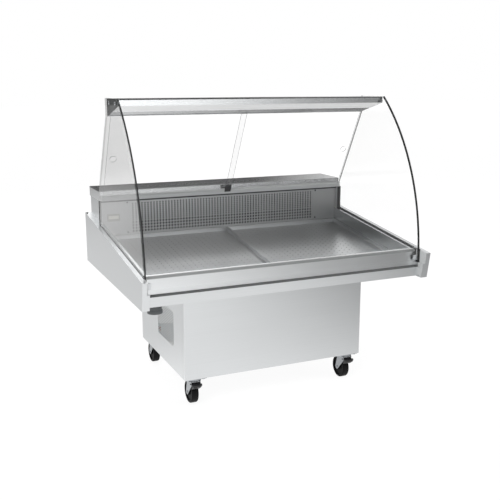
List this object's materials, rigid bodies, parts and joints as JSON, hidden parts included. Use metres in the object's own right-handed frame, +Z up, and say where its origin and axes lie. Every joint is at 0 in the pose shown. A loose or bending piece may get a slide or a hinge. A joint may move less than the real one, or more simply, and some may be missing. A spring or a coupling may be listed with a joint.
{
  "type": "fish display case",
  "caption": "Refrigerated serve-over fish display case: sloping stainless tub under a curved glass front with canopy, rear service riser, cooling cabinet, swivel castors.",
  "frame": {"origin": "on the floor, under the middle of the case's overall box", "axes": "+X to the right as the customer sees it, -Y towards the customer, +Z up"},
  "size_m": [1.3, 0.96, 1.288],
  "materials": {
    "satin_stainless": "satin brushed stainless sheet",
    "polished_liner": "bright stainless sheet",
    "frame_steel": "galvanised",
    "aluminium": "natural anodised",
    "black_enamel": "gloss black enamel",
    "copper": "drawn copper tube",
    "fan_plastic": "moulded",
    "black_plastic": "moulded",
    "drain_plastic": "moulded",
    "foam": "foamed in place",
    "black_rubber": "extruded",
    "grey_paint": "satin",
    "opal": "opal",
    "board": "white solder mask",
    "clear_glass": "clear toughened",
    "zinc_steel": "bright zinc plated",
    "wheel_rubber": "moulded"
  },
  "bodies": {
    "case": {"cabinet_base_pan": "satin_stainless", "cabinet_front_panel": "satin_stainless", "cabinet_left_panel": "satin_stainless", "cabinet_right_panel": "satin_stainless", "cabinet_rear_panel": "satin_stainless", "tub_shell": "satin_stainless", "upper_fascia": "satin_stainless", "left_side_panel": "satin_stainless", "right_side_panel": "satin_stainless", "riser_housing": "satin_stainless", "service_top": "satin_stainless", "canopy_housing": "satin_stainless", "control_plate": "satin_stainless", "tub_liner": "polished_liner", "air_panel": "polished_liner", "cabinet_frame": "frame_steel", "condenser_shroud": "frame_steel", "condenser_coil": "aluminium", "evaporator_coil": "aluminium", "upper_door_track": "aluminium", "lower_door_track": "aluminium", "compressor": "black_enamel", "condenser_fan_motor": "black_enamel", "evaporator_fan_motors": "black_enamel", "refrigerant_pipes": "copper", "front_glass_hinge_blocks": "black_plastic", "door_guide": "black_plastic", "thermostat": "black_plastic", "mains_gland": "black_plastic", "drain_outlet": "drain_plastic", "tub_insulation": "foam", "side_glass_gaskets": "black_rubber", "bumper_strip": "black_rubber", "canopy_ends": "grey_paint", "canopy_diffuser": "opal", "led_board": "board", "left_side_glass": "clear_glass", "right_side_glass": "clear_glass", "castor_plates": "zinc_steel", "screws": "zinc_steel"},
    "front_glass": {"front_glass": "clear_glass", "front_glass_pivots": "zinc_steel"},
    "left_rear_door": {"left_rear_door": "clear_glass"},
    "right_rear_door": {"right_rear_door": "clear_glass"},
    "left_tray": {"left_tray": "polished_liner"},
    "right_tray": {"right_tray": "polished_liner"},
    "condenser_fan": {"condenser_fan": "fan_plastic"},
    "evaporator_fan_left": {"evaporator_fan_left": "fan_plastic"},
    "evaporator_fan_right": {"evaporator_fan_right": "fan_plastic"},
    "power_switch": {"power_switch": "black_plastic"},
    "castor_front_left": {"castor_fork_front_left": "zinc_steel"},
    "wheel_front_left": {"castor_wheel_front_left": "wheel_rubber"},
    "castor_front_right": {"castor_fork_front_right": "zinc_steel"},
    "wheel_front_right": {"castor_wheel_front_right": "wheel_rubber"},
    "castor_rear_left": {"castor_fork_rear_left": "zinc_steel"},
    "wheel_rear_left": {"castor_wheel_rear_left": "wheel_rubber"},
    "castor_rear_right": {"castor_fork_rear_right": "zinc_steel"},
    "wheel_rear_right": {"castor_wheel_rear_right": "wheel_rubber"},
    "brake_pedal_left": {"brake_pedal_left": "black_plastic"},
    "brake_pedal_right": {"brake_pedal_right": "black_plastic"}
  },
  "joints": [
    {"name": "front_glass_tilt", "type": "hinge", "parent": "case", "child": "front_glass", "pos_m": [0, -0.4197, 0.584], "axis": [1, 0, 0], "range_deg": [0, 60]},
    {"name": "left_door_slide", "type": "slide", "parent": "case", "child": "left_rear_door", "axis": [1, 0, 0], "range_m": [0, 0.585]},
    {"name": "right_door_slide", "type": "slide", "parent": "case", "child": "right_rear_door", "axis": [-1, 0, 0], "range_m": [0, 0.585]},
    {"name": "left_tray_lift", "type": "slide", "parent": "case", "child": "left_tray", "axis": [0, 0, 1], "range_m": [0, 0.12]},
    {"name": "right_tray_lift", "type": "slide", "parent": "case", "child": "right_tray", "axis": [0, 0, 1], "range_m": [0, 0.12]},
    {"name": "condenser_fan_spin", "type": "hinge", "parent": "case", "child": "condenser_fan", "pos_m": [-0.31075, -0.032, 0.29], "axis": [1, 0, 0], "continuous": true},
    {"name": "evaporator_fan_left_spin", "type": "hinge", "parent": "case", "child": "evaporator_fan_left", "pos_m": [-0.23, 0.3445, 0.73797], "axis": [0, 1, 0], "continuous": true},
    {"name": "evaporator_fan_right_spin", "type": "hinge", "parent": "case", "child": "evaporator_fan_right", "pos_m": [0.23, 0.3445, 0.73797], "axis": [0, 1, 0], "continuous": true},
    {"name": "power_switch_rock", "type": "hinge", "parent": "case", "child": "power_switch", "pos_m": [0.434, 0.472, 0.7895], "axis": [-1, 0, 0], "range_deg": [0, 16]},
    {"name": "castor_front_left_swivel", "type": "hinge", "parent": "case", "child": "castor_front_left", "pos_m": [-0.371, -0.244, 0.12], "axis": [0, 0, 1], "continuous": true},
    {"name": "wheel_front_left_roll", "type": "hinge", "parent": "castor_front_left", "child": "wheel_front_left", "pos_m": [-0.371, -0.212, 0.05], "axis": [1, 0, 0], "continuous": true},
    {"name": "castor_front_right_swivel", "type": "hinge", "parent": "case", "child": "castor_front_right", "pos_m": [0.371, -0.244, 0.12], "axis": [0, 0, 1], "continuous": true},
    {"name": "wheel_front_right_roll", "type": "hinge", "parent": "castor_front_right", "child": "wheel_front_right", "pos_m": [0.371, -0.212, 0.05], "axis": [1, 0, 0], "continuous": true},
    {"name": "castor_rear_left_swivel", "type": "hinge", "parent": "case", "child": "castor_rear_left", "pos_m": [-0.371, 0.303, 0.12], "axis": [0, 0, 1], "continuous": true},
    {"name": "wheel_rear_left_roll", "type": "hinge", "parent": "castor_rear_left", "child": "wheel_rear_left", "pos_m": [-0.371, 0.335, 0.05], "axis": [1, 0, 0], "continuous": true},
    {"name": "castor_rear_right_swivel", "type": "hinge", "parent": "case", "child": "castor_rear_right", "pos_m": [0.371, 0.303, 0.12], "axis": [0, 0, 1], "continuous": true},
    {"name": "wheel_rear_right_roll", "type": "hinge", "parent": "castor_rear_right", "child": "wheel_rear_right", "pos_m": [0.371, 0.335, 0.05], "axis": [1, 0, 0], "continuous": true},
    {"name": "brake_pedal_left_press", "type": "hinge", "parent": "castor_front_left", "child": "brake_pedal_left", "pos_m": [-0.371, -0.26, 0.101], "axis": [1, 0, 0], "range_deg": [0, 15]},
    {"name": "brake_pedal_right_press", "type": "hinge", "parent": "castor_front_right", "child": "brake_pedal_right", "pos_m": [0.371, -0.26, 0.101], "axis": [1, 0, 0], "range_deg": [0, 15]}
  ]
}
